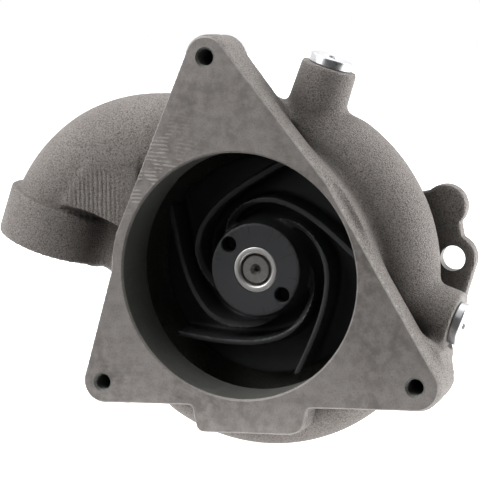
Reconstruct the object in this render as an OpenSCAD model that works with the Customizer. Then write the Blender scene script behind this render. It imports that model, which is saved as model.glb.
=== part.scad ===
// Gear-driven coolant pump.
// The inlet flange faces -Y, the shaft runs along Y and +Z is up.
// The origin is the centre of the inlet bore, on the machined flange face.

/* [Inlet flange] */
// Diameter of the inlet bore
inlet_d = 104; // [103:0.5:105]
// Thickness of the triangular flange
flange_t = 14; // [12:0.5:16]
// Depth of the three threaded corner lugs
lug_depth = 25; // [22:0.5:27]
// Diameter of the tapped holes (M8 core)
tapped_d = 6.8; // [6.4:0.1:8.5]
// Depth of the tapped holes
tapped_depth = 20; // [16:0.5:20.5]

/* [Scroll] */
// Depth of the scroll's middle plane behind the flange face
scroll_y = 37; // [36:0.5:38]
// Radius from the shaft to the middle of the scroll section
scroll_mid_r = 59; // [58.5:0.1:59.5]
// Outer radius of the scroll section
scroll_r = 20; // [19.5:0.1:20.5]
// Wall thickness of the scroll
scroll_wall = 5; // [4.5:0.1:5.5]

/* [Discharge elbow] */
// Bend radius of the elbow
elbow_bend_r = 53; // [52:0.5:54]
// Outer radius of the elbow tube
elbow_r = 24; // [23:0.5:25]
// Outer diameter of the outlet collar
collar_d = 52; // [51:0.5:54]
// Length of the outlet collar
collar_len = 22; // [20:0.5:24]
// Bore of the outlet collar
outlet_d = 42; // [40:0.5:43]
// Depth of the collar bore
outlet_depth = 17; // [16:0.5:18]

/* [Port plugs] */
// Diameter of the port thread
port_d = 14; // [13:0.5:14]
// Diameter of the plug head
plug_head_d = 18.4; // [18:0.2:19]
// Height of the plug head
plug_head_h = 4; // [3:0.5:5]
// Width of the plug's hex socket
plug_socket_af = 6; // [5:0.5:8]

/* [Mounting plate] */
// Depth of the machined mounting face behind the flange face
mount_y = 62; // [62:0.5:63]
// Thickness of the mounting plate
plate_t = 6.8; // [6:0.2:7.5]
// Diameter of the mounting holes
mount_hole_d = 11; // [10.5:0.1:11.5]
// Diameter of the locating pilot
pilot_d = 110; // [108:0.5:111]
// Length of the locating pilot
pilot_len = 8; // [7.5:0.5:9]

/* [Impeller] */
// Diameter of the impeller
impeller_d = 97; // [94:0.5:98]
// Number of blades
blade_count = 5; // [4:1:7]
// Blade thickness
blade_t = 3; // [2:0.1:3.6]
// Diameter of the hub face
hub_d = 40.4; // [39:0.2:42]
// Diameter of the steel insert
insert_d = 19.8; // [18:0.2:21]

/* [Shaft and bearings] */
// Diameter of the shaft nose in the impeller
nose_d = 14; // [13:0.2:14.6]
// Diameter of the shaft at the seals and the gear
shaft_d = 16; // [15.6:0.1:16]
// Bearing bore
bearing_bore = 17; // [17:0.5:17.5]
// Bearing outer diameter
bearing_od = 47; // [46:0.5:47]
// Bearing width
bearing_w = 14; // [13.5:0.5:14]
// Ball diameter
ball_d = 8.7; // [8:0.1:9]
// Balls in each bearing
ball_count = 7; // [6:1:8]

/* [Drive gear] */
// Gear module
gear_module = 2.5; // [2:0.1:2.5]
// Number of teeth
gear_teeth = 34; // [28:1:34]
// Width of the gear
gear_w = 18; // [14:0.5:20]

/* [Hidden] */

// Finish colours
cast_iron = [0.45, 0.43, 0.41];
steel = [0.72, 0.72, 0.74];
bright = [0.85, 0.86, 0.88];
black = [0.06, 0.06, 0.07];
rubber = [0.09, 0.09, 0.10];
brass = [0.72, 0.58, 0.30];
carbon = [0.20, 0.20, 0.21];

// Flange corners: centre [x, z] and corner radius; each holds a tapped hole
top_hole = [-14, 91.1];
left_hole = [-62.1, -49.3];
right_hole = [77.1, -41.2];
top_corner_r = 9;
left_corner_r = 9.2;
right_corner_r = 10;
// Waists of the flange's two long sides, beside the bore
left_waist = [-57.2, 8];
right_waist = [39.4, 40.4];

inlet_r = inlet_d / 2;
neck_r = inlet_r + 5.5;
// The machined bore ends just short of the impeller; the chamber behind it is a little wider
inlet_depth = 22.4;
chamber_r = inlet_r + 0.6;
chamber_end = 48;
back_r = 66;

// Elbow and collar
elbow_c = [-49.8, -2.5];
elbow_end_a = 152;
elbow_bore_r = 17;
collar_tilt = 18.7;
collar_end = [-102.9, 5];
outlet_groove_at = 10;
outlet_groove_w = 3.2;
outlet_groove_r = outlet_d / 2 + 2.4;
outlet_ring_r = 1.15;

// Port bosses: end centre [x, y, z], direction in the XZ plane, outer radius, length
top_port = [29.5, 34, 87.1];
top_port_a = 71.3;
top_boss_r = 12;
side_port = [85.5, 33, -19.2];
side_port_a = -16.5;
side_boss_r = 13.2;
boss_len = 30;
port_len = 34;
plug_shank_len = 13;
plug_ring_r = 0.8;

// Axial stations along the shaft
hub_y = 22.9;
blade_y = 26;
disc_y = 41;
disc_back_y = 44.5;
hub_back_y = 45;
cup_y = 48.6;
cup_back_y = 57.5;
cup_r = 18;
carbon_y = 49.7;
weep_end = 61;
oil_seal_end = 68;
bearing_y = 70;
spacer_len = 4;
rear_bearing_y = bearing_y + bearing_w + spacer_len;
bearings_end = rear_bearing_y + bearing_w;
ring_y = bearings_end + 0.2;
ring_t = 1.8;
housing_end = ring_y + ring_t + 1.4;
housing_r = bearing_od / 2 + 8;
gear_hub_y = bearings_end + 0.2;
gear_y = housing_end + 1.6;
washer_y = gear_y + gear_w;
washer_t = 2.5;
nut_y = washer_y + washer_t;
nut_h = 8;
shaft_end = nut_y + nut_h + 2;
ball_pitch_r = (bearing_bore + bearing_od) / 4 + 0.25;
key_w = 5;
key_len = 12;

round_fn = 96;
small_fn = 48;

// ---------- Helpers ----------

// Solid of revolution about Y from [radius, y] points
module turned(points, fn = round_fn) {
    rotate([-90, 0, 0]) rotate_extrude($fn = fn) polygon(points);
}

// Cylinder along Y between two stations
module rod(r, y0, y1, fn = round_fn) {
    rotate([-90, 0, 0]) translate([0, 0, y0]) cylinder(r = r, h = y1 - y0, $fn = fn);
}

// Ring along Y between two stations
module tube(r_out, r_in, y0, y1) {
    turned([[r_in, y0], [r_out, y0], [r_out, y1], [r_in, y1]]);
}

// Round ring about Y with a circular section
module round_ring(mid_r, r, y, fn = small_fn) {
    rotate([-90, 0, 0]) rotate_extrude($fn = round_fn) translate([mid_r, y]) circle(r = r, $fn = fn);
}

// Flat outline drawn in X and Z, extruded between two stations
module slab(y0, y1) {
    rotate([90, 0, 0]) translate([0, 0, -y1]) linear_extrude(y1 - y0) children();
}

// Puts +Z of the child along a direction in the XZ plane (angle from +X), at a point
module along(p, a) {
    translate(p) rotate([0, 90 - a, 0]) children();
}

function polar(r, a) = [r * cos(a), r * sin(a)];
function arc(c, r, a0, a1, n) = [for (i = [0 : n]) c + polar(r, a0 + (a1 - a0) * i / n)];
function heading(p, q) = atan2(q[1] - p[1], q[0] - p[0]);

// ---------- Casing ----------

// Outline of the flange face, counterclockwise from the right corner
function flange_outline() = let (
        bottom_a = heading(left_hole - [0, left_corner_r], right_hole - [0, right_corner_r]),
        right_a = heading(right_hole, right_waist),
        upper_a = heading(right_waist, top_hole + [top_corner_r - 1, 2]),
        left_a = heading(top_hole, left_waist),
        lower_a = heading(left_waist, left_hole - [left_corner_r, 0]) + 360)
    concat(
        arc(right_hole, right_corner_r, bottom_a - 90, right_a - 90, 10),
        [right_waist],
        arc(top_hole, top_corner_r, upper_a - 90, left_a + 270, 12),
        arc([0, 0], norm(left_waist), 164, 180, 3),
        arc(left_hole, left_corner_r, lower_a - 90, bottom_a + 270, 10));

// Lug that hangs below the flange, flush with its face
tab_left = -18.5;
tab_right = 29.5;
tab_bottom = -67.5;
function tab_outline() = [[tab_left - 3, -50], [tab_left - 1.5, -60], [tab_left, tab_bottom + 1.5],
    [tab_left + 2, tab_bottom - 0.3], [tab_right - 6, tab_bottom + 1.8], [tab_right - 1.5, tab_bottom + 3.4],
    [tab_right, tab_bottom + 5.5], [tab_right + 3, -50]];

// Mounting plate: a round plate with lobes at [angle, distance from the shaft, radius];
// the first three run together into a wavy edge
plate_r = 69;
mount_hole_r = 79;
plate_lobes = [[19.8, 79.5, 9.5], [3.3, mount_hole_r, 10], [-11, 75, 10.5], [110, mount_hole_r, 9],
    [205, mount_hole_r, 9], [331.5, mount_hole_r, 9]];
mount_angles = [3.3, 110, 205, 331.5];
function lobe_root(l, side) = polar(plate_r - 14, l[0]) + polar(l[2] + 2, l[0] + side);
function lobe_side(l, side) = polar(l[1], l[0]) + polar(l[2] - 1.5, l[0] + side);

module plate_outline() {
    circle(r = plate_r, $fn = round_fn);
    for (l = plate_lobes) {
        translate(polar(l[1], l[0])) circle(r = l[2], $fn = small_fn);
        polygon([lobe_root(l, 90), lobe_root(l, -90), lobe_side(l, -80), lobe_side(l, 80)]);
    }
    for (i = [0, 1]) polygon([[40, 0], polar(plate_lobes[i][1] + 5.5, plate_lobes[i][0]),
        polar(plate_lobes[i + 1][1] + 5.5, plate_lobes[i + 1][0])]);
}

module port_boss(p, a, r) {
    along(p, a) translate([0, 0, -boss_len]) cylinder(r = r, h = boss_len, $fn = round_fn);
}

module port_hole(p, a) {
    along(p, a) translate([0, 0, -port_len]) cylinder(d = port_d, h = port_len + 1, $fn = small_fn);
    along(p, a) translate([0, 0, -2 * plug_ring_r - 0.1]) {
        cylinder(r = port_d / 2 + 2 * plug_ring_r, h = 4, $fn = small_fn);
    }
}

// Direction out of the outlet, as an angle from +X in the XZ plane
outlet_a = -90 - collar_tilt;

module outlet_collar(r, from, to) {
    along([collar_end[0], scroll_y, collar_end[1]], outlet_a) {
        translate([0, 0, -from]) cylinder(r = r, h = from - to, $fn = round_fn);
    }
}

// Scroll sections, counterclockwise from the tongue: [start angle, end angle, middle radius, outer radius]
scroll_sections = [
    [88, 200, scroll_mid_r - 2.5, scroll_r - 5],
    [199, 222, scroll_mid_r - 1.2, scroll_r - 2.5],
    [221, 332, scroll_mid_r, scroll_r],
    [331, 450, scroll_mid_r - 0.8, scroll_r - 0.7]];

// The scroll sections, each shrunk by inset
module scroll(inset) {
    for (s = scroll_sections) rotate([-90, 0, 0]) translate([0, 0, scroll_y]) rotate([0, 0, -s[1]]) {
        rotate_extrude(angle = s[1] - s[0], $fn = round_fn) {
            translate([s[2], 0]) circle(r = s[3] - inset, $fn = small_fn);
        }
    }
}

// Discharge tube: a straight run off the top of the scroll, then the bend
module discharge(r_start, r_bend) {
    top_z = elbow_c[1] + elbow_bend_r;
    translate([elbow_c[0], scroll_y, top_z]) rotate([0, 90, 0]) {
        cylinder(r1 = r_bend, r2 = r_start, h = -elbow_c[0] + 4, $fn = round_fn);
    }
    translate([elbow_c[0], scroll_y, elbow_c[1]]) rotate([90, 0, 0]) rotate([0, 0, 90]) {
        rotate_extrude(angle = elbow_end_a - 90, $fn = round_fn) {
            translate([elbow_bend_r, 0]) circle(r = r_bend, $fn = small_fn);
        }
    }
}

module casing_body() {
    slab(0, flange_t) polygon(flange_outline());
    slab(0, flange_t) polygon(tab_outline());
    translate([top_hole[0], 0, top_hole[1]]) rod(top_corner_r + 0.4, 0.4, lug_depth, small_fn);
    translate([left_hole[0], 0, left_hole[1]]) rod(left_corner_r + 0.4, 0.4, lug_depth, small_fn);
    translate([right_hole[0], 0, right_hole[1]]) rod(right_corner_r + 0.4, 0.4, lug_depth, small_fn);
    slab(flange_t - 1, lug_depth) polygon(lug_web(top_hole, 8));
    // Deep wall under the upper right side of the flange, from the top lug towards the port boss
    slab(flange_t - 1, lug_depth) polygon([top_hole, top_hole + polar(top_corner_r - 0.6, 38),
        top_hole * 0.45 + right_waist * 0.55 + polar(top_corner_r - 6.5, 38), [0, 50]]);
    slab(flange_t - 1, lug_depth) polygon(lug_web(left_hole, 8));
    slab(flange_t - 1, lug_depth) polygon(lug_web(right_hole, 9));
    rod(neck_r, flange_t - 1, scroll_y);
    scroll(0);
    discharge(elbow_r, elbow_r);
    outlet_collar(collar_d / 2, collar_len, 0);
    // Web between the collar and the scroll
    slab(scroll_y - 9, scroll_y + 9) polygon([[-92, 24], [-50, 40], [-50, -8], [-66, -6], [-80, -2]]);
    port_boss(top_port, top_port_a, top_boss_r);
    port_boss(side_port, side_port_a, side_boss_r);
    rod(back_r, scroll_y + 8, mount_y);
    slab(mount_y - plate_t, mount_y) plate_outline();
    rod(pilot_d / 2, mount_y - 1, mount_y + pilot_len);
    rod(housing_r, mount_y, housing_end);
    for (i = [0 : rib_count - 1]) rotate([0, 30 + i * 360 / rib_count, 0]) bearing_rib();
}

// Web that ties a corner lug to the neck
function lug_web(p, half) = let (a = heading([0, 0], p), r = norm(p))
    [polar(48, a) + polar(half + 6, a + 90), polar(48, a) + polar(half + 6, a - 90),
     polar(r, a) + polar(half, a - 90), polar(r, a) + polar(half, a + 90)];

// Triangular rib between the bearing housing and the pilot
rib_count = 6;
rib_t = 7;
module bearing_rib() {
    rib_foot = pilot_d / 2 - 6;
    rib_top = housing_end - 6;
    translate([-rib_t / 2, 0, 0]) rotate([90, 0, 90]) linear_extrude(rib_t) {
        polygon([[mount_y, 25], [rib_top, 25], [rib_top, housing_r + 1], [mount_y + pilot_len, rib_foot],
            [mount_y, rib_foot]]);
    }
}

module casing_cavities() {
    for (h = [top_hole, left_hole, right_hole]) {
        translate([h[0], 0, h[1]]) rod(tapped_d / 2, -1, tapped_depth, small_fn);
        translate([h[0], 0, h[1]]) turned([[0, -1], [tapped_d / 2 + 1.9, -1], [tapped_d / 2, 0.9], [0, 0.9]], small_fn);
    }
    rod(inlet_r, -1, inlet_depth + 1);
    rod(chamber_r, inlet_depth, chamber_end);
    scroll(scroll_wall);
    discharge(scroll_r - scroll_wall - 2, elbow_bore_r);
    outlet_collar(outlet_d / 2, outlet_depth, -1);
    outlet_collar(outlet_groove_r, outlet_groove_at + outlet_groove_w / 2, outlet_groove_at - outlet_groove_w / 2);
    port_hole(top_port, top_port_a);
    port_hole(side_port, side_port_a);
    // Seal, weep and oil seal bores, then the bearing bore with its ring groove
    turned([[0, chamber_end - 1], [cup_r, chamber_end - 1], [cup_r, cup_back_y], [14, cup_back_y],
        [14, weep_end], [cup_r, weep_end], [cup_r, oil_seal_end], [15, oil_seal_end], [15, bearing_y],
        [bearing_od / 2, bearing_y], [bearing_od / 2, bearings_end], [bearing_od / 2, ring_y],
        [bearing_od / 2 + 1.4, ring_y], [bearing_od / 2 + 1.4, ring_y + ring_t], [bearing_od / 2, ring_y + ring_t],
        [bearing_od / 2, housing_end + 1], [0, housing_end + 1]]);
    for (a = mount_angles) rotate([0, -a, 0]) translate([mount_hole_r, 0, 0]) {
        rod(mount_hole_d / 2, mount_y - plate_t - 20, mount_y + 1, small_fn);
    }
    // O-ring groove of the pilot
    tube(pilot_d / 2 + 1, pilot_d / 2 - pilot_groove_depth, pilot_groove_y, pilot_groove_y + pilot_groove_w);
    // Weep hole, down from the weep chamber to the rim
    translate([0, (cup_back_y + weep_end) / 2, -100]) cylinder(r = weep_hole_r, h = 90, $fn = small_fn);
}

weep_hole_r = 1.6;
pilot_groove_depth = 2.4;
pilot_groove_w = 3.4;
pilot_groove_y = mount_y + 2.3;

module pump_casing() {
    color(cast_iron) difference() {
        casing_body();
        casing_cavities();
    }
}

// ---------- Plugs and seal rings ----------

module port_plug(p, a) {
    color(bright) along(p, a) difference() {
        union() {
            translate([0, 0, -plug_shank_len]) cylinder(d = port_d - 0.1, h = plug_shank_len + 1, $fn = small_fn);
            cylinder(d = plug_head_d, h = plug_head_h - 0.8, $fn = small_fn);
            translate([0, 0, plug_head_h - 0.8]) {
                cylinder(d1 = plug_head_d, d2 = plug_head_d - 1.6, h = 0.8, $fn = small_fn);
            }
        }
        translate([0, 0, -3]) cylinder(d = plug_socket_af / cos(30), h = plug_head_h + 4, $fn = 6);
    }
}

module plug_seal_ring(p, a) {
    color(rubber) along(p, a) translate([0, 0, -plug_ring_r]) rotate_extrude($fn = small_fn) {
        translate([port_d / 2 + plug_ring_r, 0]) circle(r = plug_ring_r - 0.02, $fn = 24);
    }
}

module top_port_plug() {
    port_plug(top_port, top_port_a);
}

module side_port_plug() {
    port_plug(side_port, side_port_a);
}

module top_plug_seal_ring() {
    plug_seal_ring(top_port, top_port_a);
}

module side_plug_seal_ring() {
    plug_seal_ring(side_port, side_port_a);
}

module outlet_seal_ring() {
    color(rubber) along([collar_end[0], scroll_y, collar_end[1]], outlet_a) translate([0, 0, -outlet_groove_at]) {
        rotate_extrude($fn = round_fn) translate([outlet_groove_r - outlet_ring_r - 0.05, 0]) {
            circle(r = outlet_ring_r, $fn = 24);
        }
    }
}

module pilot_seal_ring() {
    color(rubber) round_ring(pilot_d / 2 - pilot_groove_depth / 2, 1.15, pilot_groove_y + pilot_groove_w / 2, 24);
}

// ---------- Impeller and shaft ----------

impeller_r = impeller_d / 2;
blade_tip_a = 76;
blade_eye_a = 148;
blade_root_a = 214;
// Radius of a blade's middle line at an angle: it leaves the hub, runs nearly round the eye
// and then sweeps out to the rim
function blade_r(a) = 30 + (impeller_r - 30.6) * exp((blade_tip_a - a) / 24)
    - 0.025 * pow(max(0, a - blade_eye_a), 1.4);
function blade_mid(a) = polar(blade_r(a), a);
function blade_side(a, side) = let (d = blade_mid(a + 0.1) - blade_mid(a - 0.1), n = [-d[1], d[0]] / norm(d))
    blade_mid(a) + n * side * blade_t / 2;
blade_steps = 23;
function blade_angles() = [for (i = [0 : blade_steps]) blade_tip_a
    + (blade_root_a - blade_tip_a) * i / blade_steps];
function blade_outline() = let (aa = blade_angles())
    concat([for (a = aa) blade_side(a, -1)], [for (i = [blade_steps : -1 : 0]) blade_side(aa[i], 1)]);

puller_hole_r = 3.3;
puller_at = 16;
puller_a = 139.5;

module impeller() {
    color(black) difference() {
        union() {
            turned([[0, hub_y], [hub_d / 2 - 1, hub_y], [hub_d / 2, hub_y + 1], [25, disc_y - 1],
                [impeller_r, disc_y], [impeller_r, disc_back_y], [17, disc_back_y], [17, hub_back_y],
                [0, hub_back_y]]);
            // Blades, cut back towards the hub at their leading ends
            intersection() {
                slab(blade_y, disc_y + 1) for (i = [0 : blade_count - 1]) {
                    rotate(i * 360 / blade_count) polygon(blade_outline());
                }
                turned([[0, disc_y + 1], [0, 37], [19, 37], [29.5, blade_y], [60, blade_y], [60, disc_y + 1]]);
            }
        }
        rod(insert_d / 2, hub_y - 1, hub_back_y + 1);
        for (a = [puller_a, puller_a + 180]) rotate([0, -a, 0]) translate([puller_at, 0, 0]) {
            rod(puller_hole_r, hub_y - 1, hub_y + 9, small_fn);
        }
    }
}

module impeller_insert() {
    color(steel) turned([[nose_d / 2 + 0.7, hub_y], [insert_d / 2 - 0.4, hub_y], [insert_d / 2, hub_y + 0.4],
        [insert_d / 2, hub_back_y], [nose_d / 2, hub_back_y], [nose_d / 2, hub_y + 0.7]]);
}

module shaft() {
    seat_r = bearing_bore / 2;
    shoulder_r = 10.6;
    color(steel) difference() {
        turned([[0, hub_y + 0.4], [nose_d / 2 - 0.8, hub_y + 0.4], [nose_d / 2, hub_y + 1.2],
            [nose_d / 2, hub_back_y], [shaft_d / 2, hub_back_y], [shaft_d / 2, oil_seal_end + 0.4],
            [shoulder_r, oil_seal_end + 0.4], [shoulder_r, bearing_y], [seat_r, bearing_y],
            [seat_r, bearings_end], [shaft_d / 2, bearings_end], [shaft_d / 2, washer_y],
            [nose_d / 2, washer_y], [nose_d / 2, shaft_end - 1], [nose_d / 2 - 1, shaft_end], [0, shaft_end]]);
        // Centre hole in the nose
        turned([[0, hub_y], [2.2, hub_y], [2.2, hub_y + 0.4], [1, hub_y + 2.4], [1, hub_y + 5], [0, hub_y + 5.5]]);
        translate([-key_w / 2, washer_y - 3 - key_len, shaft_d / 2 - 3]) cube([key_w, key_len, 6]);
    }
}

// ---------- Seals ----------

cup_t = 1.2;

module seal_cup() {
    color(brass) turned([[cup_r - cup_t, cup_y], [cup_r, cup_y], [cup_r, cup_back_y], [9.4, cup_back_y],
        [9.4, cup_back_y - cup_t], [cup_r - cup_t, cup_back_y - cup_t]]);
}

module seal_carbon_ring() {
    color(carbon) turned([[9.2, carbon_y], [12.4, carbon_y], [12.4, carbon_y + 1], [13, carbon_y + 1],
        [13, carbon_y + 3.4], [9.2, carbon_y + 3.4]]);
}

module seal_bellows() {
    color(rubber) turned([[9.2, carbon_y + 3.5], [13, carbon_y + 3.5], [13, carbon_y + 4.3],
        [10.4, carbon_y + 4.6], [10.4, cup_back_y - cup_t - 0.9], [12.4, cup_back_y - cup_t - 0.8],
        [12.4, cup_back_y - cup_t], [9.2, cup_back_y - cup_t]]);
}

// Coil spring round the bellows, swept along a helix
spring_turns = 2.5;
spring_r = 14.8;
spring_wire_r = 0.55;
spring_sides = 8;
spring_steps = 60;
spring_y = carbon_y + 2.2;
spring_len = cup_back_y - cup_t - 0.7 - spring_y;
function spring_point(i, k) = let (
        t = i / spring_steps,
        a = 360 * spring_turns * t,
        b = 360 * k / spring_sides,
        r = spring_r + spring_wire_r * cos(b))
    [r * cos(a), spring_y + spring_len * t + spring_wire_r * sin(b), r * sin(a)];

module seal_spring() {
    last = spring_steps * spring_sides;
    points = [for (i = [0 : spring_steps]) for (k = [0 : spring_sides - 1]) spring_point(i, k)];
    sides = [for (i = [0 : spring_steps - 1]) for (k = [0 : spring_sides - 1])
        let (a = i * spring_sides + k, b = i * spring_sides + (k + 1) % spring_sides)
        [a, b, b + spring_sides, a + spring_sides]];
    ends = [[for (k = [spring_sides - 1 : -1 : 0]) k], [for (k = [0 : spring_sides - 1]) last + k]];
    color(steel) polyhedron(points, concat(sides, ends), convexity = 6);
}

module seal_mating_ring() {
    color(carbon) turned([[9.4, hub_back_y + 1], [13.6, hub_back_y + 1], [13.6, carbon_y - 0.1],
        [9.4, carbon_y - 0.1]]);
}

module mating_ring_rubber() {
    color(rubber) turned([[shaft_d / 2, hub_back_y], [15.4, hub_back_y], [15.4, carbon_y - 0.9],
        [13.6, carbon_y - 0.9], [13.6, hub_back_y + 1], [9.4, hub_back_y + 1], [9.4, carbon_y - 0.9],
        [shaft_d / 2, carbon_y - 0.9]]);
}

module slinger() {
    mid = (cup_back_y + weep_end) / 2;
    color(rubber) turned([[shaft_d / 2, mid - 1.2], [10, mid - 1.2], [13, mid - 0.4], [13, mid + 0.4],
        [10, mid + 1.2], [shaft_d / 2, mid + 1.2]]);
}

module oil_seal() {
    r = cup_r;
    color(rubber) turned([[shaft_d / 2 + 1, weep_end], [r, weep_end], [r, oil_seal_end], [r - 1.6, oil_seal_end],
        [r - 1.6, weep_end + 1.8], [12.2, weep_end + 1.8], [11.2, weep_end + 3], [11.2, weep_end + 5.4],
        [10.4, weep_end + 5.4], [10.4, weep_end + 4.4], [9.8, weep_end + 4], [9.2, weep_end + 4.4],
        [9.2, weep_end + 5.4], [shaft_d / 2 + 0.05, weep_end + 4.2], [shaft_d / 2 + 0.8, weep_end + 2]]);
}

module oil_seal_spring() {
    color(steel) round_ring(9.8, 0.5, weep_end + 4.9, 24);
}

// ---------- Bearings ----------

module bearing_ring(r_in, r_out, y) {
    c = 0.6;
    color(steel) rotate([-90, 0, 0]) rotate_extrude($fn = round_fn) difference() {
        polygon([[r_in + c, y], [r_out - c, y], [r_out, y + c], [r_out, y + bearing_w - c],
            [r_out - c, y + bearing_w], [r_in + c, y + bearing_w], [r_in, y + bearing_w - c], [r_in, y + c]]);
        translate([ball_pitch_r, y + bearing_w / 2]) circle(d = ball_d + 0.12, $fn = small_fn);
    }
}

module outer_race(y) {
    bearing_ring(ball_pitch_r + 3.4, bearing_od / 2, y);
}

module inner_race(y) {
    bearing_ring(bearing_bore / 2, ball_pitch_r - 3.4, y);
}

module ball_places(y) {
    for (i = [0 : ball_count - 1]) rotate([0, i * 360 / ball_count, 0]) {
        translate([ball_pitch_r, y + bearing_w / 2, 0]) children();
    }
}

module ball_set(y) {
    color(bright) ball_places(y) sphere(d = ball_d, $fn = small_fn);
}

module cage(y) {
    mid = y + bearing_w / 2;
    color(brass) difference() {
        tube(ball_pitch_r + 1.3, ball_pitch_r - 1.3, mid - 5.4, mid + 5.4);
        ball_places(y) rotate([0, 90, 0]) cylinder(d = ball_d + 0.2, h = 8, center = true, $fn = small_fn);
    }
}

module front_outer_race() {
    outer_race(bearing_y);
}

module front_inner_race() {
    inner_race(bearing_y);
}

module front_balls() {
    ball_set(bearing_y);
}

module front_cage() {
    cage(bearing_y);
}

module rear_outer_race() {
    outer_race(rear_bearing_y);
}

module rear_inner_race() {
    inner_race(rear_bearing_y);
}

module rear_balls() {
    ball_set(rear_bearing_y);
}

module rear_cage() {
    cage(rear_bearing_y);
}

module bearing_spacer() {
    y = bearing_y + bearing_w;
    color(steel) tube(11.6, bearing_bore / 2, y, y + spacer_len);
}

// Internal ring with a gap and two eyes for pliers
module bearing_retaining_ring() {
    r = bearing_od / 2 + 1.3;
    eye_a = 14;
    eye_at = bearing_od / 2 - 2.6;
    color(steel) difference() {
        union() {
            tube(r, bearing_od / 2 - 2.4, ring_y + 0.05, ring_y + ring_t - 0.05);
            for (a = [90 - eye_a, 90 + eye_a]) rotate([0, -a, 0]) translate([eye_at, 0, 0]) {
                rod(2.4, ring_y + 0.05, ring_y + ring_t - 0.05, small_fn);
            }
        }
        slab(ring_y - 1, ring_y + ring_t + 1) {
            polygon([[0, 0], polar(40, 90 - eye_a + 5), polar(40, 90 + eye_a - 5)]);
        }
        for (a = [90 - eye_a, 90 + eye_a]) rotate([0, -a, 0]) translate([eye_at, 0, 0]) {
            rod(1.1, ring_y - 1, ring_y + ring_t + 1, small_fn);
        }
    }
}

// ---------- Drive gear ----------

pitch_r = gear_module * gear_teeth / 2;
tip_r = pitch_r + gear_module;
root_r = pitch_r - 1.25 * gear_module;
base_r = pitch_r * cos(20);
function roll_a(r) = let (u = acos(base_r / max(r, base_r))) tan(u) * 180 / PI - u;
tooth_half = 90 / gear_teeth + roll_a(pitch_r);
flank_steps = 4;
function flank_r(k) = base_r + (tip_r - base_r) * k / flank_steps;
function tooth(a) = concat(
    [polar(root_r, a - tooth_half - 0.4)],
    [for (k = [0 : flank_steps]) polar(flank_r(k), a - tooth_half + roll_a(flank_r(k)))],
    [for (k = [flank_steps : -1 : 0]) polar(flank_r(k), a + tooth_half - roll_a(flank_r(k)))],
    [polar(root_r, a + tooth_half + 0.4)]);

module drive_gear() {
    web_in = 17;
    web_out = root_r - 6;
    web_cut = 4;
    color(steel) difference() {
        union() {
            slab(gear_y, gear_y + gear_w) {
                polygon([for (i = [0 : gear_teeth - 1]) each tooth(i * 360 / gear_teeth)]);
            }
            rod(12, gear_hub_y, gear_y + 1);
        }
        rod(shaft_d / 2, gear_hub_y - 1, washer_y + 1);
        tube(web_out, web_in, gear_y - 1, gear_y + web_cut);
        tube(web_out, web_in, washer_y - web_cut, washer_y + 1);
        for (i = [0 : 5]) rotate([0, i * 60, 0]) translate([(web_in + web_out) / 2, 0, 0]) {
            rod(4.5, gear_y, washer_y, small_fn);
        }
        translate([-key_w / 2, gear_hub_y - 1, 0]) cube([key_w, gear_w + 20, shaft_d / 2 + 2.3]);
    }
}

module gear_key() {
    color(steel) translate([-key_w / 2 + 0.02, washer_y - 3 - key_len, shaft_d / 2 - 3]) {
        cube([key_w - 0.04, key_len, 5]);
    }
}

module gear_washer() {
    color(steel) tube(14, nose_d / 2, washer_y, nut_y);
}

module gear_nut() {
    across = 22;
    color(bright) difference() {
        intersection() {
            rotate([-90, 0, 0]) translate([0, 0, nut_y]) cylinder(d = across / cos(30), h = nut_h, $fn = 6);
            turned([[0, nut_y], [across / 2, nut_y], [across / 2 + 2.4, nut_y + 1.4],
                [across / 2 + 2.4, nut_y + nut_h - 1.4], [across / 2, nut_y + nut_h], [0, nut_y + nut_h]]);
        }
        rod(nose_d / 2, nut_y - 1, nut_y + nut_h + 1);
    }
}

pump_casing();
top_port_plug();
side_port_plug();
top_plug_seal_ring();
side_plug_seal_ring();
outlet_seal_ring();
pilot_seal_ring();
impeller();
impeller_insert();
shaft();
seal_cup();
seal_bellows();
seal_spring();
seal_carbon_ring();
seal_mating_ring();
mating_ring_rubber();
slinger();
oil_seal();
oil_seal_spring();
front_outer_race();
front_inner_race();
front_balls();
front_cage();
rear_outer_race();
rear_inner_race();
rear_balls();
rear_cage();
bearing_spacer();
bearing_retaining_ring();
drive_gear();
gear_key();
gear_washer();
gear_nut();
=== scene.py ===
import math

import bmesh
import bpy
import numpy as np
from mathutils import Matrix, Vector


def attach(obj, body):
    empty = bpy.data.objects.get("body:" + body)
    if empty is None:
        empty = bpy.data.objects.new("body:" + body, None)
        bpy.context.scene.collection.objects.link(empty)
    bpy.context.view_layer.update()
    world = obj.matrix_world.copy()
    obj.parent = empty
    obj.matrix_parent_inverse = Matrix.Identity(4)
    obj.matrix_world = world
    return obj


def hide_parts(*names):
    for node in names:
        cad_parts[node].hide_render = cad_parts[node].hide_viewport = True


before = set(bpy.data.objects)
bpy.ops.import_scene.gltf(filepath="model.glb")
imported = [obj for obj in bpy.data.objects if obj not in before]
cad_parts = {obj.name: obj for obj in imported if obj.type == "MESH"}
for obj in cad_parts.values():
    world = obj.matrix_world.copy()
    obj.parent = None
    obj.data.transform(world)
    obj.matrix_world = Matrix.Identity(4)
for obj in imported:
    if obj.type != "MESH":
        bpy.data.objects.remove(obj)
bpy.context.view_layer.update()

# Lengths below are in millimetres in the part's own frame; meshes are scaled to metres when they are made.
MM = 0.001

# ---------- Signed distances ----------


def polar(r, a):
    """Point [x, z] at radius r and angle a in degrees."""
    return np.array([r * math.cos(math.radians(a)), r * math.sin(math.radians(a))])


def blend(a, b, k):
    """Union of two distances with a fillet of about k."""
    h = np.maximum(k - np.abs(a - b), 0) / k
    return np.minimum(a, b) - h * h * k * 0.25


def carve(a, b, k):
    """Distance a with b taken away, the edge rounded by about k."""
    return -blend(-a, b, k)


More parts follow.
